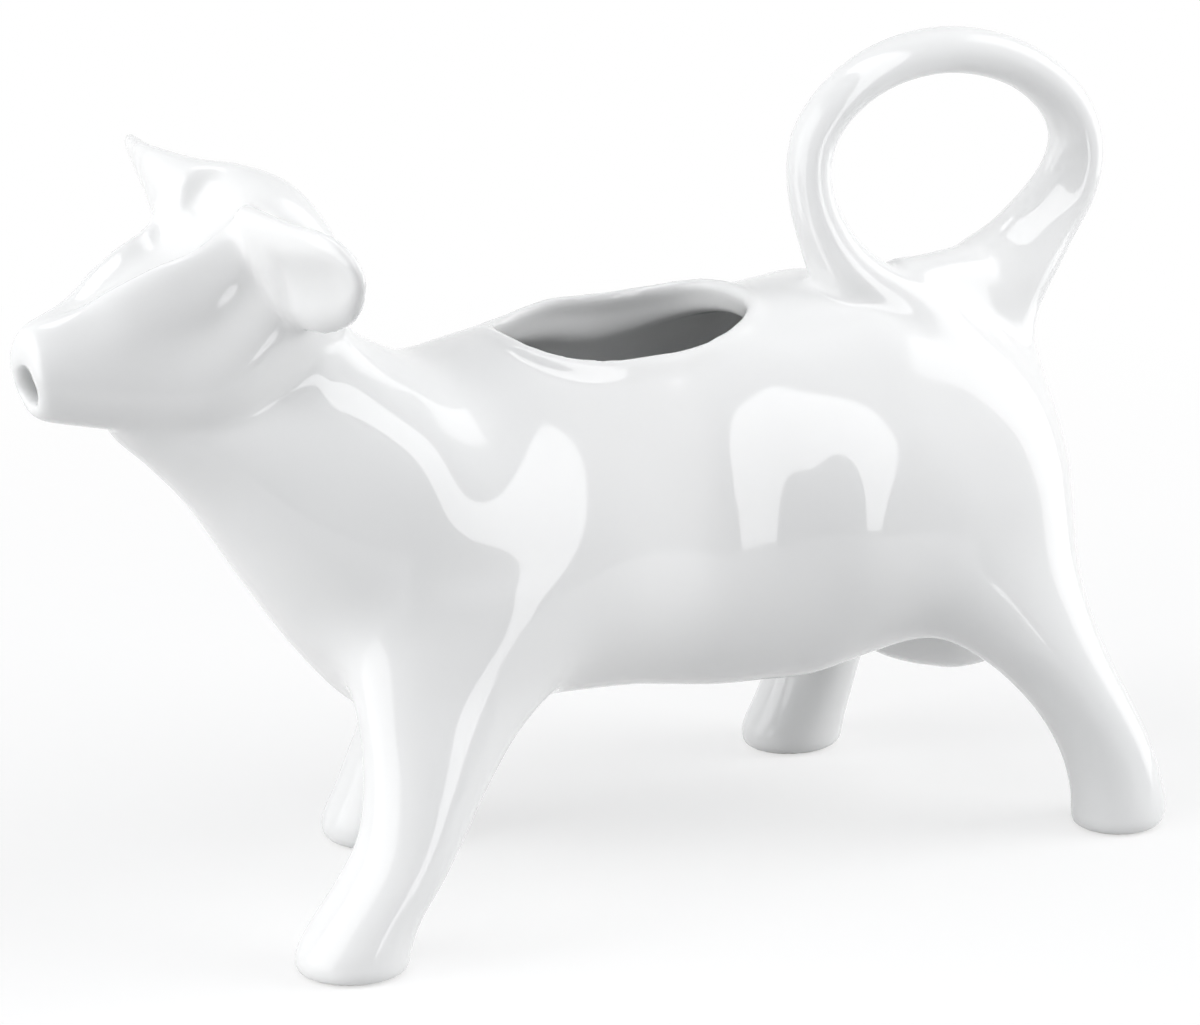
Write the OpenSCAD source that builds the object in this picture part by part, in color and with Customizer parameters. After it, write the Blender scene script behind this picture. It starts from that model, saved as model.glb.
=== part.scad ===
// Cow creamer: a small glazed porcelain milk jug in the shape of a standing cow.
// The hollow trunk is filled through the oval opening in the back, the milk runs out of the
// hole in the muzzle, and the tail is looped into a handle. The clay pieces were formed one by
// one, joined while damp and fired as one rigid piece.
// Frame: Z up, soles on zero, the cow looks along minus X, its left side is on minus Y.

/* [Whole] */
// Length along the cow that the place shares are taken of
cow_l = 100; // [90:1:112]
// Height that the height shares are taken of
cow_h = 100; // [90:1:112]
// Width that the side shares are taken of
cow_w = 100; // [90:1:112]

/* [Trunk] */
// Thickness of the fired wall
wall = 3.2; // [2.6:0.1:3.8]
// Length of the fill opening
opening_l = 35.5; // [32:0.5:38]
// Width of the fill opening
opening_w = 24; // [21:0.5:26]
// Thickness of the rounded lip round the fill opening
lip_d = 2.4; // [2:0.1:3]

/* [Head] */
// Width of the pouring hole in the muzzle
mouth_d = 4.8; // [4:0.1:5.4]
// Depth of the hollow in each ear, as a share of the ear thickness
ear_cup_share = 0.3; // [0.2:0.05:0.6]

/* [Legs and tail] */
// Girth that the leg shares are taken of
leg_d = 13; // [12:0.25:14.5]
// Rounding of the sole edge
sole_r = 1; // [0.6:0.1:1.4]
// Thickness of the tail rod, side to side
rod_w = 7; // [6:0.1:7.6]
// Thickness of the tail rod, seen from the side
rod_t = 6; // [5.2:0.1:6.8]

/* [Hidden] */
// Height of a slice that a leg is built up from
thin = 0.02;
// Stations from the ends of the trunk at which its hollow starts and stops
cavity_start = 2.3;
cavity_stop = 2.1;
// Reach of the fill opening's cut above and below the back
opening_reach = 5 * wall;
// Centre line of the lip in thicknesses of the lip: out from the opening's edge, and up from
// the skin by eighths of a turn, from the rear by way of the right side
lip_out_share = 0.3;
lip_rise_shares = [-0.33, 0.15, 0.12, -0.40, -0.15, -0.12, -0.20, -0.28, -0.33];
// Size of the hollow in an ear beside the ear itself
cup_size_share = 0.7;

// Trunk stations from the throat to the rump:
// place, top, bottom, half width, height of the widest point within the section, squareness
trunk_shares = [
  [-0.675, 0.705, 0.680, 0.022, 0.50, 2.0],
  [-0.664, 0.728, 0.657, 0.048, 0.50, 2.0],
  [-0.620, 0.752, 0.616, 0.070, 0.46, 2.0],
  [-0.555, 0.768, 0.545, 0.099, 0.42, 2.0],
  [-0.475, 0.780, 0.431, 0.138, 0.40, 2.0],
  [-0.400, 0.785, 0.330, 0.173, 0.41, 2.0],
  [-0.325, 0.743, 0.257, 0.207, 0.44, 2.05],
  [-0.240, 0.707, 0.244, 0.225, 0.44, 2.1],
  [-0.130, 0.718, 0.251, 0.227, 0.45, 2.15],
  [0.000, 0.726, 0.246, 0.220, 0.46, 2.4],
  [0.140, 0.720, 0.224, 0.217, 0.46, 2.5],
  [0.260, 0.716, 0.216, 0.220, 0.47, 2.4],
  [0.370, 0.724, 0.229, 0.232, 0.48, 2.25],
  [0.470, 0.704, 0.240, 0.238, 0.48, 2.15],
  [0.555, 0.668, 0.246, 0.224, 0.47, 2.1],
  [0.620, 0.618, 0.268, 0.180, 0.46, 2.1],
  [0.657, 0.555, 0.312, 0.122, 0.46, 2.0],
  [0.674, 0.480, 0.375, 0.045, 0.50, 2.0]];

// Head stations from the muzzle to the back of the poll, with the same columns, then the side
// and the height of the crest that runs from each nostril to the ear, and last the share of the
// half width that the cheek hollow under the crest takes in
head_shares = [
  [-0.795, 0.803, 0.752, 0.034, 0.50, 2.0, 0.010, 0.000, 0.00],
  [-0.790, 0.815, 0.726, 0.049, 0.50, 2.0, 0.010, 0.001, 0.00],
  [-0.776, 0.822, 0.703, 0.058, 0.50, 2.0, 0.012, 0.003, 0.00],
  [-0.752, 0.821, 0.697, 0.056, 0.50, 2.1, 0.017, 0.009, 0.02],
  [-0.722, 0.830, 0.689, 0.060, 0.50, 2.3, 0.027, 0.017, 0.05],
  [-0.680, 0.851, 0.679, 0.073, 0.50, 2.5, 0.043, 0.028, 0.09],
  [-0.635, 0.870, 0.667, 0.089, 0.50, 2.7, 0.056, 0.034, 0.15],
  [-0.590, 0.886, 0.659, 0.106, 0.52, 2.7, 0.067, 0.035, 0.22],
  [-0.545, 0.928, 0.656, 0.116, 0.54, 2.6, 0.078, 0.020, 0.25],
  [-0.505, 0.973, 0.660, 0.121, 0.56, 2.4, 0.086, 0.006, 0.16],
  [-0.465, 0.973, 0.680, 0.121, 0.56, 2.2, 0.090, 0.000, 0.04],
  [-0.428, 0.954, 0.718, 0.111, 0.55, 2.0, 0.090, 0.000, 0.00],
  [-0.398, 0.916, 0.758, 0.090, 0.53, 2.0, 0.090, 0.000, 0.00],
  [-0.380, 0.876, 0.795, 0.052, 0.50, 2.0, 0.090, 0.000, 0.00],
  [-0.373, 0.845, 0.820, 0.018, 0.50, 2.0, 0.090, 0.000, 0.00]];

// Spread of a crest to either side of its line
crest_spread_share = 0.019;
// Height of the middle of a cheek hollow within the upper half of a section, and its spread
cheek_rise_share = 0.40;
cheek_spread_share = 0.28;

// Ears from the root to the tip: place, side, height, half height, half thickness
left_ear_shares = [
  [-0.505, 0.070, 0.882, 0.080, 0.026], [-0.503, 0.105, 0.881, 0.083, 0.025],
  [-0.500, 0.140, 0.880, 0.083, 0.024], [-0.497, 0.175, 0.882, 0.080, 0.023],
  [-0.494, 0.205, 0.888, 0.075, 0.021], [-0.492, 0.232, 0.895, 0.068, 0.019],
  [-0.491, 0.253, 0.902, 0.058, 0.017], [-0.490, 0.268, 0.907, 0.045, 0.015],
  [-0.490, 0.280, 0.909, 0.028, 0.012]];
right_ear_shares = [
  [-0.512, 0.030, 0.906, 0.100, 0.027], [-0.511, 0.085, 0.905, 0.100, 0.026],
  [-0.510, 0.135, 0.904, 0.092, 0.025], [-0.508, 0.165, 0.908, 0.080, 0.023],
  [-0.507, 0.193, 0.917, 0.066, 0.020], [-0.506, 0.220, 0.931, 0.044, 0.018],
  [-0.505, 0.243, 0.943, 0.030, 0.015], [-0.505, 0.261, 0.953, 0.019, 0.012],
  [-0.505, 0.273, 0.960, 0.009, 0.008]];
left_ear_tilt = 22;
right_ear_tilt = 22;

// Legs from the sole upwards: place, side, height, girth along the cow, girth across it
front_left_shares = [
  [-0.462, 0.205, 0.000, 1.12, 1.08], [-0.458, 0.205, 0.030, 1.12, 1.06],
  [-0.438, 0.204, 0.065, 1.06, 1.02], [-0.406, 0.202, 0.105, 1.04, 1.00],
  [-0.374, 0.196, 0.150, 1.03, 1.00], [-0.347, 0.184, 0.200, 1.18, 1.06],
  [-0.317, 0.166, 0.255, 1.50, 1.18], [-0.284, 0.145, 0.315, 1.95, 1.34],
  [-0.255, 0.125, 0.380, 2.20, 1.50], [-0.240, 0.115, 0.440, 1.90, 1.40]];
front_right_shares = [
  [-0.196, 0.205, 0.000, 1.08, 1.08], [-0.194, 0.205, 0.030, 1.10, 1.06],
  [-0.182, 0.204, 0.065, 1.02, 1.02], [-0.167, 0.202, 0.105, 1.00, 1.00],
  [-0.152, 0.196, 0.150, 1.00, 1.00], [-0.144, 0.184, 0.200, 1.14, 1.06],
  [-0.140, 0.166, 0.255, 1.40, 1.18], [-0.145, 0.145, 0.315, 1.75, 1.34],
  [-0.155, 0.125, 0.380, 2.00, 1.50], [-0.160, 0.115, 0.440, 1.90, 1.40]];
hind_left_shares = [
  [0.657, 0.250, 0.000, 0.94, 0.94], [0.662, 0.249, 0.030, 0.96, 0.96],
  [0.656, 0.244, 0.070, 0.94, 0.94], [0.641, 0.238, 0.115, 0.95, 0.94],
  [0.616, 0.228, 0.165, 1.01, 0.98], [0.584, 0.214, 0.215, 1.17, 1.06],
  [0.547, 0.196, 0.270, 1.48, 1.20], [0.518, 0.172, 0.330, 1.75, 1.36],
  [0.490, 0.145, 0.395, 1.95, 1.50], [0.480, 0.130, 0.450, 1.80, 1.40]];
hind_right_shares = [
  [0.469, 0.240, 0.000, 1.06, 0.96], [0.472, 0.240, 0.030, 1.08, 0.96],
  [0.487, 0.238, 0.070, 1.00, 0.94], [0.500, 0.234, 0.115, 0.97, 0.94],
  [0.508, 0.226, 0.165, 0.99, 0.98], [0.511, 0.213, 0.215, 1.12, 1.06],
  [0.508, 0.196, 0.270, 1.40, 1.20], [0.503, 0.172, 0.330, 1.80, 1.36],
  [0.495, 0.145, 0.395, 2.00, 1.50], [0.490, 0.130, 0.450, 1.90, 1.40]];

// Udder from front to back: place, height, radius along, across and up
udder_shares = [
  [0.400, 0.282, 0.040, 0.050, 0.050], [0.430, 0.278, 0.045, 0.068, 0.070],
  [0.460, 0.275, 0.050, 0.080, 0.085], [0.490, 0.272, 0.052, 0.087, 0.093],
  [0.520, 0.270, 0.053, 0.090, 0.098], [0.550, 0.270, 0.053, 0.088, 0.105],
  [0.580, 0.272, 0.052, 0.083, 0.110], [0.605, 0.272, 0.050, 0.078, 0.110],
  [0.625, 0.276, 0.040, 0.064, 0.100]];

// Tail rod from the front foot round the loop to the rear foot: place, side, height, girth
tail_shares = [
  [0.550, -0.080, 0.580, 1.20], [0.495, -0.084, 0.636, 1.34], [0.424, -0.077, 0.684, 1.42],
  [0.364, -0.056, 0.734, 1.35], [0.336, -0.032, 0.788, 1.10], [0.326, -0.012, 0.848, 0.96],
  [0.338, 0.000, 0.906, 0.96], [0.380, 0.000, 0.958, 0.97], [0.446, 0.000, 0.991, 1.00],
  [0.524, 0.000, 1.001, 1.02], [0.602, 0.000, 0.988, 1.02], [0.672, 0.000, 0.956, 1.01],
  [0.726, 0.000, 0.906, 1.05], [0.749, 0.000, 0.848, 1.10], [0.738, 0.000, 0.790, 1.12],
  [0.696, -0.004, 0.738, 1.13], [0.652, -0.014, 0.690, 1.14], [0.619, -0.026, 0.640, 1.24],
  [0.600, -0.036, 0.580, 1.45]];

// Place and height of the middle of the fill opening
opening_share = [0.050, 0.715];
// Place and height of the start of the straight pouring hole
mouth_share = [-0.76, 0.748];
// Pouring channel from the neck to the muzzle: place, height, radius as a share of the mouth
channel_shares = [
  [-0.42, 0.66, 1.9], [-0.47, 0.69, 1.9], [-0.52, 0.72, 1.8], [-0.57, 0.743, 1.6],
  [-0.61, 0.75, 1.35], [-0.65, 0.75, 1.1], [-0.69, 0.749, 0.8], [-0.73, 0.748, 0.6],
  [-0.76, 0.748, 0.5]];

// One row of a table at a fractional station, on a smooth curve through the stations
function row(t, s) =
  let(n = len(t) - 1, i = min(floor(s), n - 1), u = s - i,
    a = t[max(i - 1, 0)], b = t[i], c = t[i + 1], d = t[min(i + 2, n)])
  0.5 * (2 * b + (c - a) * u + (2 * a - 5 * b + 4 * c - d) * u * u
    + (3 * b - a - 3 * c + d) * u * u * u);

function power(v, e) = sign(v) * pow(abs(v), e);

// Points round one upright section of the body, inset by the wall where asked
function section(r, k, inset) =
  let(top = r[1] * cow_h - inset, low = r[2] * cow_h + inset, half = r[3] * cow_w - inset,
    mid = low + (top - low) * r[4])
  [for (j = [0:k - 1]) let(a = 360 * (j + 0.5) / k, c = power(cos(a), 2 / r[5]),
    s = power(sin(a), 2 / r[5]))
    [r[0] * cow_l, half * c * (1 - cheek(r, s)),
      mid + s * (s > 0 ? top - mid + crest(r, half * c) : mid - low)]];

// Extra height of a crest at a distance to the side; the trunk has none
function crest(r, y) = len(r) < 7 ? 0
  : r[7] * cow_h * exp(-pow((abs(y) / cow_w - r[6]) / crest_spread_share, 2));

// Share of the half width taken in at a height within the section; the trunk has none
function cheek(r, s) = len(r) < 9 ? 0
  : r[8] * exp(-pow((s - cheek_rise_share) / cheek_spread_share, 2));

// Closed solid through rings of equal point counts
module skin(rings) {
  n = len(rings);
  k = len(rings[0]);
  sides = [for (i = [0:n - 2], j = [0:k - 1])
    [i * k + j, i * k + (j + 1) % k, (i + 1) * k + (j + 1) % k, (i + 1) * k + j]];
  first = [for (j = [k - 1:-1:0]) j];
  last = [for (j = [0:k - 1]) (n - 1) * k + j];
  polyhedron([for (r = rings) each r], concat(sides, [first, last]), convexity = 8);
}

module body_loft(t, from, to, steps, k, inset = 0) {
  skin([for (i = [steps:-1:0]) section(row(t, from + (to - from) * i / steps), k, inset)]);
}

module trunk_form() {
  body_loft(trunk_shares, 0, len(trunk_shares) - 1, steps = 33, k = 36);
}

module head_form() {
  body_loft(head_shares, 0, len(head_shares) - 1, steps = 28, k = 40);
}

module fill_opening() {
  translate([opening_share[0] * cow_l, 0, opening_share[1] * cow_h - opening_reach])
    linear_extrude(height = 2 * opening_reach)
      resize([opening_l, opening_w])
        circle(d = opening_l, $fn = 40);
}

module channel() {
  for (i = [0:len(channel_shares) - 2])
    hull() {
      channel_ball(channel_shares[i]);
      channel_ball(channel_shares[i + 1]);
    }
  translate([mouth_share[0] * cow_l, 0, mouth_share[1] * cow_h])
    rotate([0, -90, 0])
      cylinder(d = mouth_d, h = 2 * mouth_d, $fn = 20);
}

module channel_ball(c) {
  translate([c[0] * cow_l, 0, c[1] * cow_h])
    sphere(d = 2 * c[2] * mouth_d, $fn = 14);
}

// Height of the trunk skin at a place and a distance to the side
function skin_top(x, y) =
  let(s = station(trunk_shares, x / cow_l), r = row(trunk_shares, s),
    mid = r[2] + (r[1] - r[2]) * r[4],
    side = min(1, abs(y) / (r[3] * cow_w)))
  cow_h * (mid + (r[1] - mid) * pow(1 - pow(side, r[5]), 1 / r[5]));

// Fractional station of a place in a table
function station(t, p, i = 0) =
  i >= len(t) - 2 || p < t[i + 1][0] ? i + (p - t[i][0]) / (t[i + 1][0] - t[i][0])
  : station(t, p, i + 1);

function lip_point(a) =
  let(x = opening_share[0] * cow_l + cos(a) * (opening_l / 2 + lip_d * lip_out_share),
    y = sin(a) * (opening_w / 2 + lip_d * lip_out_share))
  [x, y, skin_top(x, y) + lip_d * row(lip_rise_shares, a / 45)];

module lip_ball(a) {
  translate(lip_point(a))
    sphere(d = lip_d, $fn = 8);
}

module lip() {
  for (a = [0:18:342])
    hull() {
      lip_ball(a);
      lip_ball(a + 18);
    }
}

module cavity() {
  body_loft(trunk_shares, cavity_start, len(trunk_shares) - cavity_stop, steps = 20, k = 20,
    inset = wall);
}

module trunk() {
  color([0.96, 0.96, 0.95])
    difference() {
      union() {
        difference() {
          trunk_form();
          fill_opening();
        }
        lip();
      }
      cavity();
      channel();
    }
}

module head() {
  color([0.97, 0.97, 0.96])
    difference() {
      head_form();
      trunk_form();
      channel();
    }
}

module ear_blade(t, side, tilt, shrink, lift) {
  for (i = [0:len(t) - 2])
    hull() {
      ear_leaf(t[i], side, tilt, shrink, lift);
      ear_leaf(t[i + 1], side, tilt, shrink, lift);
    }
}

// One ellipsoid of an ear, tall across the blade and moved forward for the hollow
module ear_leaf(e, side, tilt, shrink, lift) {
  translate([e[0] * cow_l, side * e[1] * cow_w, e[2] * cow_h])
    rotate([0, -tilt, 0])
      translate([-lift * e[4] * cow_l, 0, 0])
        scale([shrink, 1, shrink * e[3] / e[4]])
          sphere(r = e[4] * cow_h, $fn = 16);
}

module ear(t, side, tilt) {
  color([0.98, 0.98, 0.97])
    difference() {
      ear_blade(t, side, tilt, 1, 0);
      ear_blade([for (i = [2:len(t) - 2]) t[i]], side, tilt, cup_size_share,
        1 + cup_size_share - ear_cup_share);
      head_form();
      trunk_form();
    }
}

module left_ear() {
  ear(left_ear_shares, -1, left_ear_tilt);
}

module right_ear() {
  ear(right_ear_shares, 1, right_ear_tilt);
}

// One leg: a chain of level slices from the sole into the trunk, with a rounded sole edge
module leg_form(t, side) {
  hull() {
    slice(t[0], side, thin, -sole_r);
    translate([0, 0, sole_r])
      slice(t[0], side, thin, 0);
    slice(t[1], side, thin, 0);
  }
  for (i = [1:len(t) - 2])
    hull() {
      slice(t[i], side, thin, 0);
      slice(t[i + 1], side, thin, 0);
    }
}

module slice(e, side, h, grow) {
  translate([e[0] * cow_l, side * e[1] * cow_w, e[2] * cow_h])
    linear_extrude(height = h)
      resize([e[3] * leg_d + 2 * grow, e[4] * leg_d + 2 * grow])
        circle(d = leg_d, $fn = 24);
}

module leg(t, side) {
  color([0.95, 0.95, 0.94])
    difference() {
      leg_form(t, side);
      trunk_form();
    }
}

module front_left_leg() {
  leg(front_left_shares, -1);
}

module front_right_leg() {
  leg(front_right_shares, 1);
}

module hind_left_leg() {
  leg(hind_left_shares, -1);
}

module hind_right_leg() {
  leg(hind_right_shares, 1);
}

module udder_ball(u) {
  translate([u[0] * cow_l, 0, u[1] * cow_h])
    scale([u[2] / u[4], u[3] / u[4], 1])
      sphere(r = u[4] * cow_h, $fn = 16);
}

module udder() {
  color([0.95, 0.95, 0.94])
    difference() {
      union()
        for (i = [0:len(udder_shares) - 2])
          hull() {
            udder_ball(udder_shares[i]);
            udder_ball(udder_shares[i + 1]);
          }
      trunk_form();
      leg_form(hind_left_shares, -1);
      leg_form(hind_right_shares, 1);
    }
}

// Centre of the tail rod at a fractional station
function rod_centre(s) =
  let(r = row(tail_shares, s))
  [r[0] * cow_l, r[1] * cow_w, r[2] * cow_h];

// Ring of points round the rod, square to its run as seen from the side
function rod_ring(s, k) =
  let(last = len(tail_shares) - 1, near = 0.05, a = rod_centre(max(0, s - near)),
    b = rod_centre(min(last, s + near)), d = (b - a) / norm([b[0] - a[0], b[2] - a[2]]),
    g = row(tail_shares, s)[3] / 2, c = rod_centre(s))
  [for (j = [0:k - 1]) let(t = 360 * j / k)
    c + rod_t * g * cos(t) * [-d[2], 0, d[0]] + rod_w * g * sin(t) * [0, 1, 0]];

// Clay smoothed between the two feet of the loop
tail_web_shares = [
  [0.430, -0.045, 0.720, 0.85], [0.455, -0.040, 0.716, 0.95], [0.480, -0.034, 0.711, 1.03],
  [0.505, -0.027, 0.707, 1.12], [0.530, -0.020, 0.702, 1.20], [0.555, -0.014, 0.698, 1.30],
  [0.580, -0.010, 0.696, 1.40], [0.605, -0.006, 0.702, 1.42], [0.632, -0.004, 0.714, 1.34],
  [0.660, -0.002, 0.738, 1.14], [0.690, 0.000, 0.774, 0.88], [0.716, 0.000, 0.814, 0.68],
  [0.733, 0.000, 0.855, 0.58]];

module web_ball(w) {
  translate([w[0] * cow_l, w[1] * cow_w, w[2] * cow_h])
    sphere(d = w[3] * rod_w, $fn = 12);
}

module rod(steps) {
  skin([for (i = [0:steps]) rod_ring(i * (len(tail_shares) - 1) / steps, 14)]);
}

module tail_handle() {
  color([0.97, 0.97, 0.96])
    difference() {
      union() {
        rod(45);
        for (i = [0:len(tail_web_shares) - 2])
          hull() {
            web_ball(tail_web_shares[i]);
            web_ball(tail_web_shares[i + 1]);
          }
      }
      trunk_form();
    }
}

trunk();
head();
left_ear();
right_ear();
front_left_leg();
front_right_leg();
hind_left_leg();
hind_right_leg();
udder();
tail_handle();
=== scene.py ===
import math

import bpy
import numpy as np
import openvdb
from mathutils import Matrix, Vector


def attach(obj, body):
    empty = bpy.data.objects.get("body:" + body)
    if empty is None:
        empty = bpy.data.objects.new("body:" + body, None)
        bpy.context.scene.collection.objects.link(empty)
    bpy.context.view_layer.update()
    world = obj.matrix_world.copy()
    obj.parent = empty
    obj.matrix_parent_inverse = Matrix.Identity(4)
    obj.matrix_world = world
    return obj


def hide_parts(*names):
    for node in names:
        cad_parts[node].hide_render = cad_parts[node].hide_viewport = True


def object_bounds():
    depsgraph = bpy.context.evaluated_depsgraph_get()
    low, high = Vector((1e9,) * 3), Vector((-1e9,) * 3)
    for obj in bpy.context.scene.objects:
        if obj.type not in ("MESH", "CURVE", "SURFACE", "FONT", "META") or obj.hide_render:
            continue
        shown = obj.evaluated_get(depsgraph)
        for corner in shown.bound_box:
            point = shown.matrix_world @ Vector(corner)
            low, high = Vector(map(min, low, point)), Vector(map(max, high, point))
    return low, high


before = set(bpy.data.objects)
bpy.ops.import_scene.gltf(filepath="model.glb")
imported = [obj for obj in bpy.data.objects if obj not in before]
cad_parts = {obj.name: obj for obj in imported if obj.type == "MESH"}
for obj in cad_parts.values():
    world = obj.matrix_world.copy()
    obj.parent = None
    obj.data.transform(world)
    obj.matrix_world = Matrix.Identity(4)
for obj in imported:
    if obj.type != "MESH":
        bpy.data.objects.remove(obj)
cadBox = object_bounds()
scene = bpy.context.scene
print("frame:", len(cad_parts), "nodes")

# Camera at the photograph's angle; lengths in metres, angles in degrees
shot = {"azimuth": -31, "elevation": 17, "distance": 0.9, "target": (-0.0045, 0, 0.05),
        "imageWidth": 1200, "imageHeight": 1025, "pixelsPerMetre": 7900,
        "targetPixel": (556, 490), "sensor": 36, "farthest": 20}


def towards(azimuth, elevation):  # a direction, by degrees from -Y towards +X and upwards
    turn, rise = math.radians(azimuth), math.radians(elevation)
    return Vector((math.sin(turn) * math.cos(rise), -math.cos(turn) * math.cos(rise),
                   math.sin(rise)))


def placeCamera():
    away = towards(shot["azimuth"], shot["elevation"])
    data = bpy.data.cameras.new("camera")
    data.sensor_width = shot["sensor"]
    data.lens = shot["pixelsPerMetre"] * shot["distance"] / shot["imageWidth"] * shot["sensor"]
    data.shift_x = (shot["imageWidth"] / 2 - shot["targetPixel"][0]) / shot["imageWidth"]
    data.shift_y = (shot["targetPixel"][1] - shot["imageHeight"] / 2) / shot["imageWidth"]
    data.clip_end = shot["farthest"]
    camera = bpy.data.objects.new("camera", data)
    camera.location = Vector(shot["target"]) + away * shot["distance"]
    camera.rotation_euler = (-away).to_track_quat("-Z", "Y").to_euler()
    scene.collection.objects.link(camera)
    scene.camera = camera


placeCamera()
print("camera: azimuth", shot["azimuth"], "elevation", shot["elevation"])

# The clay is worked in millimetres on a block of voxels, as distances from each form's surface
clay = {"voxel": 0.6,
        "margin": 5,       # of the block round the cow
        "reach": 12,       # how far from a surface its distance is known
        "soften": 0.6,     # how far the glaze rounds every edge
        "wall": 3.2}
millimetre = 0.001
tiny = 1e-6  # keeps a division away from zero
low = np.array(cadBox[0]) / millimetre - clay["margin"]
high = np.array(cadBox[1]) / millimetre + clay["margin"]
firstVoxel = np.floor(low / clay["voxel"]).astype(int)
blockSize = np.ceil(high / clay["voxel"]).astype(int) - firstVoxel
alongX, alongY, alongZ = [
    ((firstVoxel[i] + np.arange(blockSize[i])) * clay["voxel"]).astype(np.float32).reshape(
        [-1 if i == j else 1 for j in range(3)]) for i in range(3)]


def curveRows(table, steps):  # rows of a table on a smooth curve through its stations
    table = np.array(table, float)
    s = np.linspace(0, len(table) - 1, steps)
    i = np.minimum(s.astype(int), len(table) - 2)
    u = (s - i)[:, None]
    a, b, c, d = [table[np.clip(i + k, 0, len(table) - 1)] for k in (-1, 0, 1, 2)]
    return 0.5 * (2 * b + (c - a) * u + (2 * a - 5 * b + 4 * c - d) * u ** 2
                  + (3 * b - a - 3 * c + d) * u ** 3)


def distances(rings):  # signed distance to the closed skin through rings of points
    rows, around, _ = rings.shape
    ends = [rings[0].mean(0), rings[-1].mean(0)]
    points = np.vstack([rings.reshape(-1, 3), ends]).astype(np.float32)
    i, j = np.meshgrid(np.arange(rows - 1), np.arange(around), indexing="ij")
    nextJ = (j + 1) % around
    quads = np.stack([i * around + j, i * around + nextJ, (i + 1) * around + nextJ,
                      (i + 1) * around + j], -1).reshape(-1, 4)
    j = np.arange(around)
    nextJ = (j + 1) % around
    last = (rows - 1) * around
    firstEnd = rows * around + 0 * j
    caps = np.vstack([np.stack([nextJ, j, firstEnd], -1),
                      np.stack([last + j, last + nextJ, firstEnd + 1], -1)])
    grid = openvdb.FloatGrid.createLevelSetFromPolygons(
        points, triangles=caps.astype(np.uint32), quads=quads.astype(np.uint32),
        transform=openvdb.createLinearTransform(voxelSize=clay["voxel"]),
        halfWidth=clay["reach"] / clay["voxel"])
    block = np.empty(blockSize, np.float32)
    grid.copyToArray(block, ijk=tuple(int(v) for v in firstVoxel))
    return block


def join(a, b, radius):  # both forms, with a cubic fillet where they meet
    h = np.maximum(radius - np.abs(a - b), 0) / radius
    return np.minimum(a, b) - h ** 3 * radius / 6


def cut(a, b, radius):  # the first form without the second, with a rounded edge
    return -join(-a, b, radius)


def soften(block, spread, cutOff=2.5):  # Gaussian blur, one axis after the other
    reach = int(math.ceil(cutOff * spread / clay["voxel"]))
    weights = [math.exp(-0.5 * (k * clay["voxel"] / spread) ** 2)
               for k in range(-reach, reach + 1)]
    for axis in range(3):
        padded = np.pad(block, [(reach, reach) if a == axis else (0, 0) for a in range(3)], "edge")
        total = np.zeros_like(block)
        for k, weight in enumerate(weights):
            part = [slice(None)] * 3
            part[axis] = slice(k, k + block.shape[axis])
            total += padded[tuple(part)] * np.float32(weight / sum(weights))
        block = total
    return block


def power(v, e):  # with the sign kept
    return np.sign(v) * np.abs(v) ** e


def anglesRound(around, start=0):  # angles spread evenly round a section
    return 2 * math.pi * (np.arange(around) + start) / around


def roundSections(rows, around):  # upright ovals: place, height, half width, half height
    turn = anglesRound(around)
    y = rows[:, 2:3] * np.cos(turn)
    z = rows[:, 1:2] + rows[:, 3:4] * np.sin(turn)
    return np.stack([rows[:, 0:1] + 0 * y, y, z], -1)[:, ::-1]


def bodySections(table, face=None, steps=180, around=160):  # upright sections, place by place
    r = curveRows(table, steps)
    turn = anglesRound(around, 0.5)
    place, top, bottom, half, middle, square = [r[:, k:k + 1] for k in range(6)]
    c, s = power(np.cos(turn), 2 / square), power(np.sin(turn), 2 / square)
    y = half * c
    mid = bottom + (top - bottom) * middle
    crest = cheek = 0
    if face:
        side, height, share = [r[:, k:k + 1] for k in (6, 7, 8)]
        crest = height * np.exp(-((np.abs(y) - side) / face["crestSpread"]) ** 2)
        cheek = share * np.exp(-((s - face["cheekRise"]) / face["cheekSpread"]) ** 2)
    z = mid + s * np.where(s > 0, top - mid + crest, mid - bottom)
    return np.stack([place + 0 * c, y * (1 - cheek), z], -1)[:, ::-1]


# Trunk stations: place, top, bottom, half width, height of the widest point, squareness
trunk = {"stations": [
    (-67.5, 70.5, 68.0, 2.2, 0.50, 2.0), (-66.4, 72.8, 65.7, 4.8, 0.50, 2.0),
    (-62.0, 75.2, 61.6, 7.0, 0.46, 2.0), (-55.5, 76.8, 54.5, 9.9, 0.42, 2.0),
    (-47.5, 78.0, 43.1, 13.8, 0.40, 2.0), (-40.0, 78.5, 33.0, 17.3, 0.41, 2.0),
    (-32.5, 74.3, 25.7, 20.7, 0.44, 2.05), (-24.0, 70.7, 24.4, 22.5, 0.44, 2.1),
    (-13.0, 71.8, 25.1, 22.7, 0.45, 2.15), (0.0, 72.6, 24.6, 21.7, 0.46, 2.4),
    (7.0, 72.3, 23.5, 21.1, 0.46, 2.45), (14.0, 72.0, 22.4, 21.5, 0.46, 2.5),
    (20.0, 71.8, 22.0, 22.7, 0.465, 2.45), (26.0, 71.6, 21.6, 23.9, 0.47, 2.4),
    (31.5, 72.1, 22.2, 24.4, 0.475, 2.3), (37.0, 72.4, 22.9, 24.5, 0.48, 2.25),
    (47.0, 70.4, 24.0, 24.2, 0.48, 2.15), (55.5, 66.8, 24.6, 22.4, 0.47, 2.1),
    (62.0, 61.8, 26.8, 18.0, 0.46, 2.1), (65.7, 55.5, 31.2, 12.2, 0.46, 2.0),
    (67.4, 48.0, 37.5, 4.5, 0.50, 2.0)]}

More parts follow.
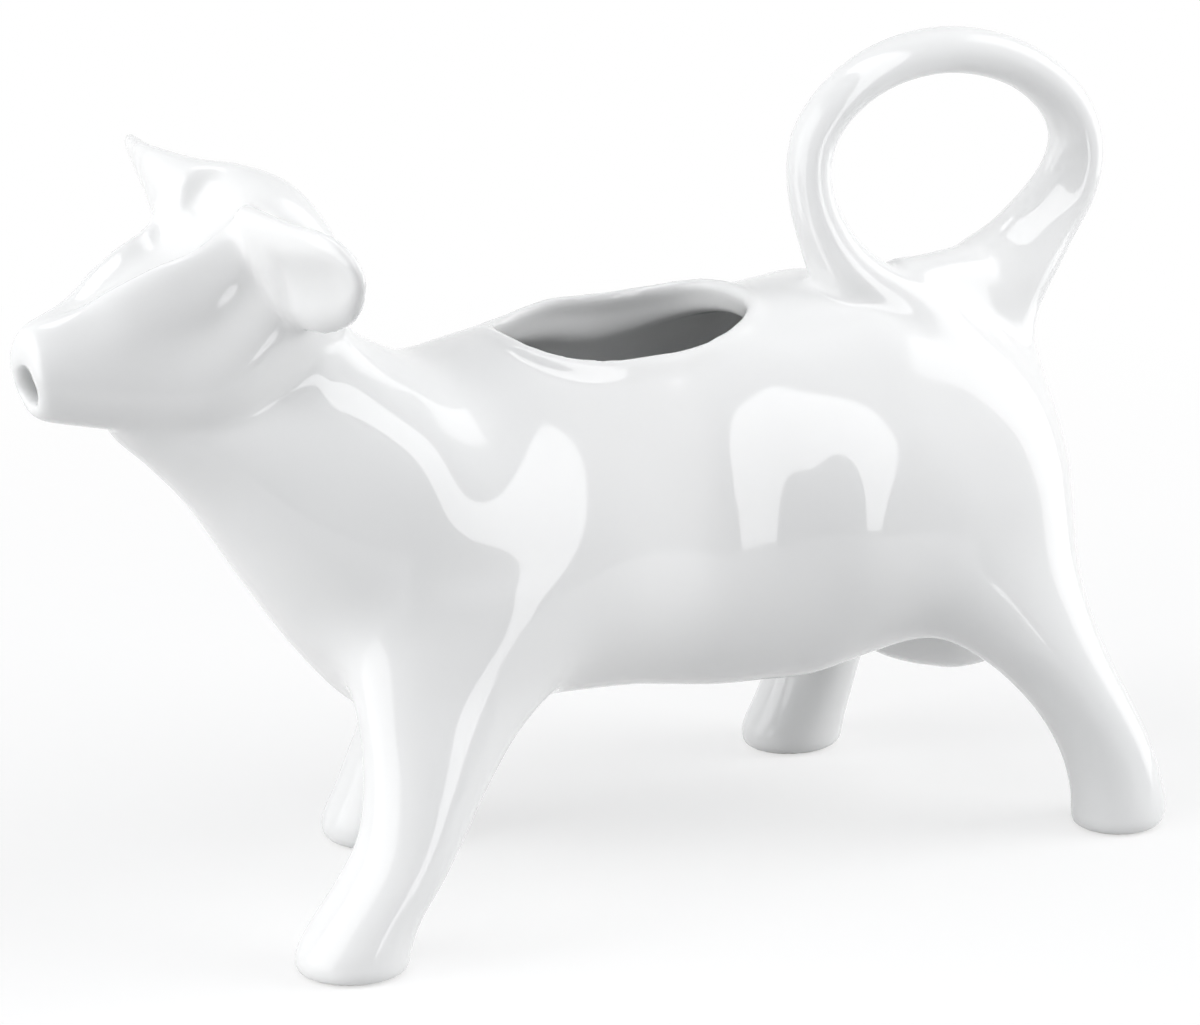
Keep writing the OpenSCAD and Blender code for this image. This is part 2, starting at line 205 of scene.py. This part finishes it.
# Head stations add the side and the height of the crest from the nostril to the ear, and the
# share of the half width that the cheek hollow under it takes in. The hollow is deepest at
# cheekRise, where 0 is the widest point and 1 the top
head = {"stations": [
    (-79.5, 80.3, 75.2, 3.0, 0.50, 2.0, 1.0, 0.0, 0),
    (-79.0, 81.5, 72.6, 4.3, 0.50, 2.0, 1.0, 0.1, 0),
    (-77.6, 82.3, 70.4, 4.9, 0.50, 2.0, 1.4, 0.4, 0),
    (-72.2, 83.0, 68.9, 6.2, 0.50, 2.3, 2.7, 1.7, 0.02),
    (-68.0, 85.1, 67.9, 7.4, 0.50, 2.5, 4.3, 2.8, 0.05),
    (-63.5, 87.0, 66.7, 8.9, 0.50, 2.7, 5.6, 3.4, 0.09),
    (-59.0, 88.6, 65.9, 10.6, 0.52, 2.7, 6.7, 3.5, 0.14),
    (-54.5, 92.8, 65.6, 11.6, 0.54, 2.6, 7.8, 2.0, 0.16),
    (-50.5, 97.3, 66.0, 12.1, 0.56, 2.4, 8.6, 0.6, 0.14),
    (-46.5, 97.3, 68.0, 12.1, 0.56, 2.2, 9.0, 0.0, 0.07),
    (-42.8, 95.4, 71.8, 11.1, 0.55, 2.0, 9.0, 0.0, 0.01),
    (-39.8, 91.6, 75.8, 9.0, 0.53, 2.0, 9.0, 0.0, 0),
    (-38.0, 87.6, 79.5, 5.2, 0.50, 2.0, 9.0, 0.0, 0),
    (-37.3, 84.5, 82.0, 1.8, 0.50, 2.0, 9.0, 0.0, 0)],
    "crestSpread": 2.0, "cheekRise": 0.34, "cheekSpread": 0.34,
    "jawFillet": 1.2, "napeFillet": 9.0, "jawEnd": -56, "napeStart": -44}


def joinHead(body, form):  # a crease under the jaw that opens into the nape
    share = np.clip((alongX - head["jawEnd"]) / (head["napeStart"] - head["jawEnd"]), 0, 1)
    radius = head["jawFillet"] + (head["napeFillet"] - head["jawFillet"]) * share ** 2
    return join(body, form, radius)


# Ears from the root to the tip: place, side, height, half height, half thickness. The cup in
# front is cut by the blade's own form from the station cupStart on, shrunk and moved forward by
# so many half thicknesses
ears = {"tilt": 22, "steps": 90, "around": 64, "capSteps": 13, "tipShare": 0.02, "pieces": {
    "left_ear": {
        "side": -1, "fillet": 2.0,
        "cupForward": 1.35, "cupShrink": 0.72, "cupStart": 2, "cupEdge": 0.8,
        "stations": [
            (-50.5, 7.0, 88.2, 8.0, 2.6), (-50.3, 10.5, 88.1, 8.3, 2.5),
            (-50.0, 14.0, 88.0, 8.3, 2.4), (-49.7, 17.5, 88.2, 8.0, 2.3),
            (-49.4, 20.5, 88.8, 7.5, 2.1), (-49.2, 23.2, 89.5, 6.8, 1.9),
            (-49.1, 25.3, 90.2, 5.8, 1.7), (-49.0, 26.8, 90.7, 4.5, 1.5),
            (-49.0, 28.0, 90.9, 2.8, 1.2)]},
    "right_ear": {
        "side": 1, "fillet": 6.0,
        "cupForward": 1.55, "cupShrink": 0.6, "cupStart": 4, "cupEdge": 1.6,
        "stations": [
            (-51.2, 3.0, 90.6, 7.8, 4.6), (-51.1, 8.5, 90.5, 8.1, 4.2),
            (-51.0, 13.5, 90.4, 8.3, 3.3), (-50.8, 16.5, 90.8, 7.7, 2.5),
            (-50.7, 19.3, 91.7, 6.6, 2.0), (-50.6, 22.0, 93.1, 4.4, 1.8),
            (-50.5, 24.3, 94.3, 3.0, 1.5), (-50.5, 26.1, 95.3, 1.9, 1.2),
            (-50.5, 27.3, 96.0, 0.9, 0.8)]}}}


def earSections(ear, shrink=1.0, forward=0.0, first=0):
    r = curveRows(ear["stations"][first:], ears["steps"])
    cap = np.linspace(0, 1, ears["capSteps"] + 1)[1:]  # the tip closes in a quarter round
    tip = np.repeat(r[-1:], len(cap), 0)
    tip[:, 1] += r[-1, 4] * np.sin(cap * math.pi / 2)
    tip[:, 3:] *= np.cos(cap * math.pi / 2)[:, None] + ears["tipShare"]
    r = np.vstack([r, tip])
    turn = anglesRound(ears["around"])
    tilt = math.radians(ears["tilt"])
    up = r[:, 3:4] * shrink * np.sin(turn)
    out = r[:, 4:5] * (np.cos(turn) * shrink - forward)
    x = r[:, 0:1] + out * math.cos(tilt) - up * math.sin(tilt)
    z = r[:, 2:3] + out * math.sin(tilt) + up * math.cos(tilt)
    rings = np.stack([x, ear["side"] * r[:, 1:2] + 0 * x, z], -1)
    return rings if ear["side"] > 0 else rings[:, ::-1]


def earForm(ear):
    blade = distances(earSections(ear))
    cup = distances(earSections(ear, ear["cupShrink"], ear["cupForward"], ear["cupStart"]))
    return cut(blade, cup, ear["cupEdge"])


# Legs from the sole upwards: place, side, height, and shares of the girth along the cow and
# across it
legs = {"girth": 13, "soleRound": 1.3, "fillet": 9, "steps": 140, "around": 72, "pieces": {
    "front_left_leg": (-1, [
        (-46.2, 20.5, 0.0, 1.12, 1.08), (-45.8, 20.5, 3.0, 1.12, 1.06),
        (-43.8, 20.4, 6.5, 1.06, 1.02), (-40.6, 20.2, 10.5, 1.04, 1.00),
        (-37.4, 19.6, 15.0, 1.03, 1.00), (-34.7, 18.4, 20.0, 1.18, 1.06),
        (-31.7, 16.6, 25.5, 1.50, 1.18), (-28.4, 14.5, 31.5, 1.95, 1.34),
        (-25.5, 12.5, 38.0, 2.20, 1.50), (-24.0, 11.5, 44.0, 1.90, 1.40)]),
    "front_right_leg": (1, [
        (-19.6, 20.5, 0.0, 1.08, 1.08), (-19.4, 20.5, 3.0, 1.10, 1.06),
        (-18.2, 20.4, 6.5, 1.02, 1.02), (-16.7, 20.2, 10.5, 1.00, 1.00),
        (-15.2, 19.6, 15.0, 1.00, 1.00), (-14.4, 18.4, 20.0, 1.14, 1.06),
        (-14.0, 16.6, 25.5, 1.40, 1.18), (-14.5, 14.5, 31.5, 1.75, 1.34),
        (-15.5, 12.5, 38.0, 2.00, 1.50), (-16.0, 11.5, 44.0, 1.90, 1.40)]),
    "hind_left_leg": (-1, [
        (65.7, 25.0, 0.0, 0.94, 0.94), (66.2, 24.9, 3.0, 0.96, 0.96),
        (65.6, 24.4, 7.0, 0.94, 0.94), (64.1, 23.8, 11.5, 0.95, 0.94),
        (61.6, 22.8, 16.5, 1.01, 0.98), (58.4, 21.4, 21.5, 1.17, 1.06),
        (54.7, 19.6, 27.0, 1.48, 1.20), (51.8, 17.2, 33.0, 1.75, 1.36),
        (49.0, 14.5, 39.5, 1.95, 1.50), (48.0, 13.0, 45.0, 1.80, 1.40)]),
    "hind_right_leg": (1, [
        (46.9, 24.0, 0.0, 1.06, 0.96), (47.2, 24.0, 3.0, 1.08, 0.96),
        (48.7, 23.8, 7.0, 1.00, 0.94), (50.0, 23.4, 11.5, 0.97, 0.94),
        (50.8, 22.6, 16.5, 0.99, 0.98), (51.1, 21.3, 21.5, 1.12, 1.06),
        (50.8, 19.6, 27.0, 1.40, 1.20), (50.3, 17.2, 33.0, 1.80, 1.36),
        (49.5, 14.5, 39.5, 2.00, 1.50), (49.0, 13.0, 45.0, 1.90, 1.40)])}}


def legForm(side, stations):
    r = curveRows(stations, legs["steps"])
    turn = anglesRound(legs["around"])
    grow = legs["girth"] / 2
    rounding = np.clip(1 - r[:, 2:3] / legs["soleRound"], 0, 1)
    inset = legs["soleRound"] * (1 - np.sqrt(1 - rounding ** 2))
    x = r[:, 0:1] + (r[:, 3:4] * grow - inset) * np.cos(turn)
    y = side * r[:, 1:2] + (r[:, 4:5] * grow - inset) * np.sin(turn)
    return distances(np.stack([x, y, r[:, 2:3] + 0 * x], -1)[:, ::-1])


# Udder from front to back: place, height, half width, half height
udder = {"fillet": 2.5, "steps": 90, "around": 72, "stations": [
    (36.5, 28.6, 0.6, 0.6), (38.0, 28.4, 3.0, 3.0), (41.0, 28.1, 5.4, 5.5),
    (45.0, 27.6, 7.4, 7.8), (49.0, 27.2, 8.5, 9.1), (52.0, 27.0, 8.9, 9.8),
    (55.0, 27.0, 8.8, 10.6), (58.0, 27.2, 8.5, 11.0), (61.0, 27.3, 7.8, 10.9),
    (63.5, 27.6, 6.5, 9.7), (65.2, 27.7, 4.5, 7.2), (66.2, 27.7, 1.6, 2.6)]}


def udderForm():
    return distances(roundSections(curveRows(udder["stations"], udder["steps"]), udder["around"]))


# Tail rod from its front foot round the loop to its rear foot, and the web of clay smoothed in
# between the two feet: place, side, height, share of the width and thickness
tail = {
    "width": 7, "thickness": 6, "around": 64, "rodSteps": 300, "webSteps": 140, "webFillet": 6.0,
    # the fillet at the front, the one at the rear, and where one turns into the other
    "fillet": 2.2, "rearFillet": 8.0, "filletPlaces": (37, 47), "filletHeights": (80, 70),
    "rod": [
        (52.5, -8.0, 55.5, 1.20), (47.6, -8.3, 62.4, 1.34), (42.4, -7.7, 68.4, 1.42),
        (36.4, -5.6, 73.4, 1.35), (33.6, -3.2, 78.8, 1.10), (32.6, -1.2, 84.8, 0.96),
        (33.8, 0.0, 90.6, 0.96), (38.0, 0.0, 95.8, 0.97), (44.6, 0.0, 99.1, 1.00),
        (52.4, 0.0, 100.1, 1.02), (60.2, 0.0, 98.8, 1.02), (67.2, 0.0, 95.6, 1.01),
        (72.6, 0.0, 90.6, 1.05), (74.9, 0.0, 84.8, 1.10), (73.8, 0.0, 79.0, 1.12),
        (69.6, -0.4, 73.8, 1.13), (65.2, -1.4, 69.0, 1.14), (61.9, -2.6, 64.0, 1.24),
        (60.0, -3.6, 58.0, 1.45)],
    "web": [
        (43.0, -5.0, 71.4, 0.95), (45.5, -4.8, 70.8, 1.10), (48.0, -4.5, 70.2, 1.25),
        (50.5, -4.0, 69.7, 1.38), (53.0, -3.3, 69.3, 1.46), (55.5, -2.5, 69.0, 1.52),
        (58.0, -1.7, 69.0, 1.55), (60.5, -1.0, 69.8, 1.50), (63.2, -0.5, 71.2, 1.38),
        (66.0, -0.2, 73.8, 1.14), (69.0, 0.0, 77.4, 0.88), (71.6, 0.0, 81.4, 0.68),
        (73.3, 0.0, 85.5, 0.58)]}


def rodSections(table, thickness, steps):  # sections across a rod that runs upright
    r = curveRows(table, steps)
    centre = r[:, :3]
    run = np.gradient(centre, axis=0)
    run /= np.hypot(run[:, 0], run[:, 2])[:, None]
    turn = anglesRound(tail["around"])[:, None]
    normal = np.stack([-run[:, 2], 0 * run[:, 0], run[:, 0]], -1)[:, None]
    girth = r[:, 3, None, None] / 2
    return centre[:, None] + girth * (thickness * np.cos(turn) * normal
                                      + tail["width"] * np.sin(turn) * np.array([0, 1, 0]))


def joinTail(body, rod):  # a crisp crease in front of the strand, a wide fillet behind it
    share = 1
    for along, (start, end) in ((alongX, tail["filletPlaces"]), (alongZ, tail["filletHeights"])):
        share = share * np.clip((along - start) / (end - start), 0, 1)
    return join(body, rod, tail["fillet"] + (tail["rearFillet"] - tail["fillet"]) * share)


def tailForms():
    return (distances(rodSections(tail["web"], tail["width"], tail["webSteps"])),
            distances(rodSections(tail["rod"], tail["thickness"], tail["rodSteps"])))


# Fill opening in the back, a blunt oval that is turned a little by its skew. Its lip's height
# over the skin is given by eighths of a turn, from the rear by way of the right side
opening = {"centre": 5.0, "length": 35.5, "width": 24.0, "square": 2.4, "skew": 0.1, "floor": 50,
           "edge": 0.8, "lip": 1.2, "lipOut": 0.95, "lipFillet": 1.0, "lipSteps": 97,
           "lipRise": [-0.3, 0.35, 0.85, -0.8, -0.4, -0.1, -0.4, -0.45, -0.3]}


def openingDistance():  # level distance from the wall of the fill opening
    a, b = opening["length"] / 2, opening["width"] / 2
    x = np.abs(alongX - opening["centre"]) / a
    y = np.abs(alongY - opening["skew"] * (alongX - opening["centre"])) / b
    n = opening["square"]
    size = (x ** n + y ** n) ** (1 / n)
    slope = np.hypot((x / (size + tiny)) ** (n - 1) / a, (y / (size + tiny)) ** (n - 1) / b)
    return (size - 1) / (slope + tiny)


def lipForm(trunkForm):
    turn = np.degrees(np.arctan2(alongY / opening["width"],
                                 (alongX - opening["centre"]) / opening["length"])) % 360
    rise = curveRows([[v] for v in opening["lipRise"]], opening["lipSteps"])[:, 0]
    turns = np.linspace(0, 360, opening["lipSteps"])
    up = trunkForm - np.interp(turn, turns, rise).astype(np.float32)
    ring = np.hypot(openingDistance() - opening["lipOut"], up) - opening["lip"]
    return np.where(alongZ > opening["floor"], ring, clay["reach"])


# Pouring hole through the muzzle as far as its end, and the channel behind it: place, height,
# radius
mouth = {"height": 74.8, "diameter": 4.6, "end": -74.0, "edge": 0.8, "steps": 60, "around": 48,
         "channel": [
             (-42, 66, 9.1), (-47, 69, 9.1), (-52, 72, 8.6), (-57, 74.3, 7.7), (-61, 75, 6.5),
             (-65, 75, 5.3), (-69, 74.9, 3.8), (-73, 74.8, 2.9), (-76, 74.8, 2.4)]}


def channelForm():
    bore = np.sqrt(alongY ** 2 + (alongZ - mouth["height"]) ** 2) - mouth["diameter"] / 2
    bore = np.maximum(bore, alongX - mouth["end"])
    rows = curveRows(mouth["channel"], mouth["steps"])[:, [0, 1, 2, 2]]
    return np.minimum(bore, distances(roundSections(rows, mouth["around"])))


# Soft swellings (and, below zero, dips) that fingers left in the clay of both sides:
# middle, spread along x, y and z, height, and how flat the top is
modelling = [
    ((-31, 21, 46), (9, 9, 12), -1.0, 1),   # neck to shoulder
    ((-31, 18, 65), (9, 9, 9), 1.3, 1),     # withers
    ((-9, 23, 49), (10, 9, 14), 0.8, 1),    # shoulder
    ((4, 22, 50), (9, 9, 18), -0.8, 1),     # flank
    ((33, 23, 47), (11, 12, 13), 1.1, 2),   # haunch
    ((43, 21, 33), (10, 7, 6), 1.2, 1),     # thigh
    ((28, 0, 73), (6, 7.5, 4), 0.6, 1)]     # behind the opening


def swell(body):
    for middle, spread, height, flatness in modelling:
        away = sum(((axis - middle[i]) / spread[i]) ** 2
                   for i, axis in enumerate((alongX, np.abs(alongY), alongZ)))
        body = body - np.float32(height) * np.exp(-away ** flatness)
    return body


forms = {"trunk": distances(bodySections(trunk["stations"])),
         "head": distances(bodySections(head["stations"], head))}
for name, ear in ears["pieces"].items():
    forms[name] = earForm(ear)
for name, (side, stations) in legs["pieces"].items():
    forms[name] = legForm(side, stations)
forms["udder"] = udderForm()
web, rod = tailForms()
forms["tail_handle"] = np.minimum(web, rod)
print("clay forms:", ", ".join(forms))

whole = joinHead(forms["trunk"], forms["head"])
for name, ear in ears["pieces"].items():
    whole = join(whole, forms[name], ear["fillet"])
for name in legs["pieces"]:
    whole = join(whole, forms[name], legs["fillet"])
whole = join(whole, forms["udder"], udder["fillet"])
whole = joinTail(join(whole, web, tail["webFillet"]), rod)
whole = swell(whole)
whole = np.maximum(whole, -forms["trunk"] - clay["wall"])  # the hollow for the milk
whole = cut(whole, np.maximum(openingDistance(), opening["floor"] - alongZ), opening["edge"])
whole = join(whole, lipForm(forms["trunk"]), opening["lipFillet"])
whole = cut(whole, channelForm(), mouth["edge"])
whole = soften(whole, clay["soften"])
whole = np.maximum(whole, -alongZ)  # the soles are ground flat
print("clay joined:", whole.shape)


def sample(block, points):  # a block's value at points in millimetres
    index = points / clay["voxel"] - firstVoxel
    base = np.clip(np.floor(index).astype(int), 0, blockSize - 2)
    share = np.clip(index - base, 0, 1)
    total = 0
    for corner in np.ndindex(2, 2, 2):
        weight = np.prod(np.where(corner, share, 1 - share), axis=1)
        i, j, k = (base + corner).T
        total = total + block[i, j, k] * weight
    return total


def slopes(block):
    return np.gradient(block, clay["voxel"])


def normalsAt(slope, points):
    n = np.stack([sample(s, points) for s in slope], -1)
    return n / np.maximum(np.linalg.norm(n, axis=1, keepdims=True), tiny)


def skinOf(block, slope=None, passes=2, longest=0.3):  # points in millimetres, and quads
    grid = openvdb.FloatGrid(clay["reach"])
    grid.transform = openvdb.createLinearTransform(voxelSize=clay["voxel"])
    grid.copyFromArray(np.ascontiguousarray(block, np.float32),
                       ijk=tuple(int(v) for v in firstVoxel), tolerance=0)
    points, quads = grid.convertToQuads(0)
    points = points.astype(float)
    for _ in range(passes if slope else 0):  # onto the surface itself
        step = np.clip(sample(block, points), -longest, longest)
        points -= step[:, None] * normalsAt(slope, points)
    return points, quads


def newPiece(name, points, quads):
    mesh = bpy.data.meshes.new(name)
    mesh.from_pydata((points * millimetre).tolist(), [], quads.tolist())
    piece = bpy.data.objects.new(name, mesh)
    scene.collection.objects.link(piece)
    return piece


wholeSlope = slopes(whole)
skinPoints, skinQuads = skinOf(whole, wholeSlope)
skin = newPiece("skin", skinPoints, skinQuads)
print("skin:", len(skinPoints), "points")


def carve(piece, tool, operation):
    step = piece.modifiers.new(operation, "BOOLEAN")
    step.solver, step.operation, step.object = "MANIFOLD", operation, tool
    graph = bpy.context.evaluated_depsgraph_get()
    mesh = bpy.data.meshes.new_from_object(piece.evaluated_get(graph))
    piece.modifiers.clear()
    piece.data = mesh


def zone(name, others, reach=4):  # where a piece is nearer than what it is joined to
    rest = forms[others[0]]
    for other in others[1:]:
        rest = np.minimum(rest, forms[other])
    block = np.maximum(np.maximum(forms[name] - rest, -rest), forms[name] - reach)
    return newPiece(name + "_zone", *skinOf(block))


# Normals of the whole skin, so that no seam shows between pieces; the cut faces keep their own
def shadeSmooth(piece, near=0.1, facing=0.3):
    mesh = piece.data
    mesh.shade_smooth()
    points = np.empty(len(mesh.vertices) * 3)
    mesh.vertices.foreach_get("co", points)
    points = points.reshape(-1, 3) / millimetre
    corners = np.empty(len(mesh.loops), int)
    mesh.loops.foreach_get("vertex_index", corners)
    counts = np.empty(len(mesh.polygons), int)
    mesh.polygons.foreach_get("loop_total", counts)
    faceNormals = np.empty(len(mesh.polygons) * 3)
    mesh.polygons.foreach_get("normal", faceNormals)
    ofCorner = np.repeat(faceNormals.reshape(-1, 3), counts, 0)
    smooth = normalsAt(wholeSlope, points)[corners]
    onSkin = (np.abs(sample(whole, points)) < near)[corners]
    onSkin &= (smooth * ofCorner).sum(1) > facing
    mesh.normals_split_custom_set(np.where(onSkin[:, None], smooth, ofCorner))


# Each piece is cut off the skin in turn, against what it is joined to, and the trunk is left
cuts = [("left_ear", ["head", "trunk"]), ("right_ear", ["head", "trunk"]), ("head", ["trunk"]),
        ("udder", ["trunk", "hind_left_leg", "hind_right_leg"]), ("tail_handle", ["trunk"])]
cuts += [(name, ["trunk"]) for name in legs["pieces"]]
pieces = {}
for name, others in cuts:
    tool = zone(name, others)
    piece = skin.copy()
    piece.name = name + "_glazed"
    scene.collection.objects.link(piece)
    carve(piece, tool, "INTERSECT")
    carve(skin, tool, "DIFFERENCE")
    bpy.data.objects.remove(tool)
    pieces[name] = piece
skin.name = "trunk_glazed"
pieces["trunk"] = skin
for name, piece in pieces.items():
    shadeSmooth(piece)
    print("piece:", name, len(piece.data.polygons), "faces")


class Wire:  # a node's socket that Python's operators work on
    def __init__(self, sheet, socket):
        self.sheet, self.socket = sheet, socket

    def maths(self, operation, first, second):
        return self.sheet.node("ShaderNodeMath", {"operation": operation}, {0: first, 1: second})

    def __add__(self, other):
        return self.maths("ADD", self, other)

    def __sub__(self, other):
        return self.maths("SUBTRACT", self, other)

    def __rsub__(self, other):
        return self.maths("SUBTRACT", other, self)

    def __mul__(self, other):
        return self.maths("MULTIPLY", self, other)

    def __gt__(self, other):
        return self.maths("GREATER_THAN", self, other)

    __radd__, __rmul__ = __add__, __mul__


class Sheet:  # one node tree
    def __init__(self, tree):
        self.tree = tree
        tree.nodes.clear()

    def node(self, kind, settings=None, values=None, output=0):
        made = self.tree.nodes.new(kind)
        for name, value in (settings or {}).items():
            setattr(made, name, value)
        for name, value in (values or {}).items():
            if isinstance(value, Wire):
                self.tree.links.new(value.socket, made.inputs[name])
            else:
                made.inputs[name].default_value = value
        return Wire(self, made.outputs[output]) if len(made.outputs) else None


def mixColours(sheet, share, first, second):  # by number, as the sockets' names aren't unique
    return sheet.node("ShaderNodeMix", {"data_type": "RGBA"}, {0: share, 6: first, 7: second},
                      output=2)


# White glaze that pools a little in wide spots and has a faint wave; below soleHeight the ground
# soles show the bare bisque
glaze = {"colour": (0.90, 0.90, 0.895, 1), "pooled": (0.87, 0.88, 0.88, 1),
         "bisque": (0.78, 0.765, 0.73, 1), "soleHeight": 0.0004,
         "roughness": 0.06, "bisqueRoughness": 0.8, "refraction": 1.55,
         "waveScale": 55, "waveDetail": 1.5, "waveRoughness": 0.4, "waveDepth": 0.00004,
         "poolScale": 22, "poolDetail": 3.0}


def makeGlaze():
    material = bpy.data.materials.new("glazed_porcelain")
    material.use_nodes = True
    sheet = Sheet(material.node_tree)
    place = sheet.node("ShaderNodeTexCoord", output="Object")
    wave = sheet.node("ShaderNodeTexNoise", {}, {
        "Vector": place, "Scale": glaze["waveScale"], "Detail": glaze["waveDetail"],
        "Roughness": glaze["waveRoughness"]})
    pool = sheet.node("ShaderNodeTexNoise", {}, {
        "Vector": place, "Scale": glaze["poolScale"], "Detail": glaze["poolDetail"]})
    height = sheet.node("ShaderNodeSeparateXYZ", {}, {0: place}, output="Z")
    bare = 1 - (height > glaze["soleHeight"])
    white = mixColours(sheet, pool, glaze["colour"], glaze["pooled"])
    colour = mixColours(sheet, bare, white, glaze["bisque"])
    bump = sheet.node("ShaderNodeBump", {}, {"Height": wave, "Distance": glaze["waveDepth"],
                                             "Strength": 1.0})
    rough = bare * (glaze["bisqueRoughness"] - glaze["roughness"]) + glaze["roughness"]
    shader = sheet.node("ShaderNodeBsdfPrincipled", {}, {
        "Base Color": colour, "Roughness": rough, "IOR": glaze["refraction"], "Normal": bump})
    sheet.node("ShaderNodeOutputMaterial", {}, {"Surface": shader})
    return material


porcelain = makeGlaze()
for name, piece in pieces.items():
    piece.data.materials.clear()
    piece.data.materials.append(porcelain)
    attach(piece, "root")
    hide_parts(*[name])
print("glazed:", len(pieces), "pieces")

# Pale table: a share of it is plain white near the cow, and all of it further out. It throws
# less light back than the eye sees, and in reflections it ends at the plinth
table = {"size": 12, "colour": (0.98, 0.98, 0.98, 1), "bounce": (0.62, 0.62, 0.62, 1),
         "white": (1, 1, 1, 1), "nearShare": 0.62, "nearRadius": 0.1, "farRadius": 0.28,
         "plinth": 0.17}


def seenRays(sheet):  # the last is one on rays to the eye, also by way of gloss or glass
    camera, glossy, through = [sheet.node("ShaderNodeLightPath", output="Is " + ray + " Ray")
                               for ray in ("Camera", "Glossy", "Transmission")]
    return camera, glossy, sheet.node("ShaderNodeClamp", {}, {0: camera + glossy + through})


def makeTable():
    bpy.ops.mesh.primitive_plane_add(size=table["size"])
    floor = bpy.context.object
    floor.name = "table"
    material = bpy.data.materials.new("table")
    material.use_nodes = True
    sheet = Sheet(material.node_tree)
    place = sheet.node("ShaderNodeNewGeometry", output="Position")
    away = sheet.node("ShaderNodeVectorMath", {"operation": "LENGTH"}, {0: place}, output="Value")
    far = sheet.node("ShaderNodeMapRange", {"interpolation_type": "SMOOTHSTEP"},
                     {"Value": away, "From Min": table["nearRadius"],
                      "From Max": table["farRadius"], "To Min": table["nearShare"]})
    _, glossy, seen = seenRays(sheet)
    colour = mixColours(sheet, seen, table["bounce"], table["colour"])
    matt = sheet.node("ShaderNodeBsdfDiffuse", {}, {"Color": colour})
    white = sheet.node("ShaderNodeEmission", {}, {"Color": table["white"], "Strength": 1.0})
    shader = sheet.node("ShaderNodeMixShader", {}, {0: far * seen, 1: matt, 2: white})
    clear = sheet.node("ShaderNodeBsdfTransparent", {}, {"Color": table["white"]})
    shader = sheet.node("ShaderNodeMixShader", {},
                        {0: (away > table["plinth"]) * glossy, 1: shader, 2: clear})
    sheet.node("ShaderNodeOutputMaterial", {}, {"Surface": shader})
    floor.data.materials.append(material)


makeTable()

# Studio: the light comes from a soft dome that is brighter above. Reflections see a white
# backdrop behind the cow that fades into a dim room in front of it, and the eye only the backdrop
dome = {"above": (0.43, 0.435, 0.45, 1), "level": (0.22, 0.223, 0.23, 1),
        "room": (0.34, 0.34, 0.35, 1), "backdrop": (1, 1, 1, 1), "behind": (0.49, 0.82, 0.0),
        "fadeFrom": -0.1, "fadeTo": 0.35}
# Softboxes light the glaze and windows are what it mirrors; they stand round the camera's target
panels = [
    {"name": "left_softbox", "azimuth": -105, "elevation": 16, "distance": 1.5, "size": (1.0, 1.6),
     "radiance": 3.0, "hidden": "visible_glossy"},
    {"name": "high_softbox", "azimuth": -78, "elevation": 34, "distance": 1.5, "size": (1.1, 1.3),
     "radiance": 1.05, "hidden": "visible_glossy"},
    {"name": "front_softbox", "azimuth": -28, "elevation": 55, "distance": 1.5, "size": (1.0, 1.0),
     "radiance": 1.2, "hidden": "visible_glossy"},
    {"name": "right_softbox", "azimuth": 62, "elevation": 24, "distance": 1.5, "size": (1.0, 1.4),
     "radiance": 3.5, "hidden": "visible_glossy"},
    {"name": "left_window", "azimuth": -95, "elevation": 14, "distance": 1.3, "size": (1.5, 1.8),
     "radiance": 1.8, "hidden": "visible_diffuse"},
    {"name": "front_window", "azimuth": 14, "elevation": 50, "distance": 1.3, "size": (0.54, 6.0),
     "radiance": 3.1, "hidden": "visible_diffuse"},
    {"name": "right_window", "azimuth": 84, "elevation": 14, "distance": 1.3, "size": (0.9, 1.6),
     "radiance": 1.4, "hidden": "visible_diffuse"}]


def makeDome():
    world = bpy.data.worlds.new("studio")
    scene.world = world
    world.use_nodes = True
    sheet = Sheet(world.node_tree)
    direction = sheet.node("ShaderNodeTexCoord", output="Generated")
    height = sheet.node("ShaderNodeSeparateXYZ", {}, {0: direction}, output="Z")
    soft = mixColours(sheet, height, dome["level"], dome["above"])
    back = sheet.node("ShaderNodeVectorMath", {"operation": "DOT_PRODUCT"},
                      {0: direction, 1: dome["behind"]}, output="Value")
    backShare = sheet.node("ShaderNodeMapRange", {"interpolation_type": "SMOOTHSTEP"},
                           {"Value": back, "From Min": dome["fadeFrom"],
                            "From Max": dome["fadeTo"]})
    around = mixColours(sheet, backShare, dome["room"], dome["backdrop"])
    camera, _, seen = seenRays(sheet)
    colour = mixColours(sheet, seen, soft, around)
    colour = mixColours(sheet, camera, colour, dome["backdrop"])
    light = sheet.node("ShaderNodeBackground", {}, {"Color": colour, "Strength": 1.0})
    sheet.node("ShaderNodeOutputWorld", {}, {"Surface": light})


def makePanels():
    for panel in panels:
        data = bpy.data.lights.new(panel["name"], "AREA")
        data.shape = "RECTANGLE"
        data.size, data.size_y = panel["size"]
        data.energy = panel["radiance"] * math.pi * data.size * data.size_y
        away = towards(panel["azimuth"], panel["elevation"])
        lamp = bpy.data.objects.new(panel["name"], data)
        lamp.location = Vector(shot["target"]) + away * panel["distance"]
        lamp.rotation_euler = away.to_track_quat("Z", "Y").to_euler()
        setattr(lamp, panel["hidden"], False)
        scene.collection.objects.link(lamp)


makeDome()
makePanels()
scene.view_settings.view_transform = "Standard"
print("studio ready")
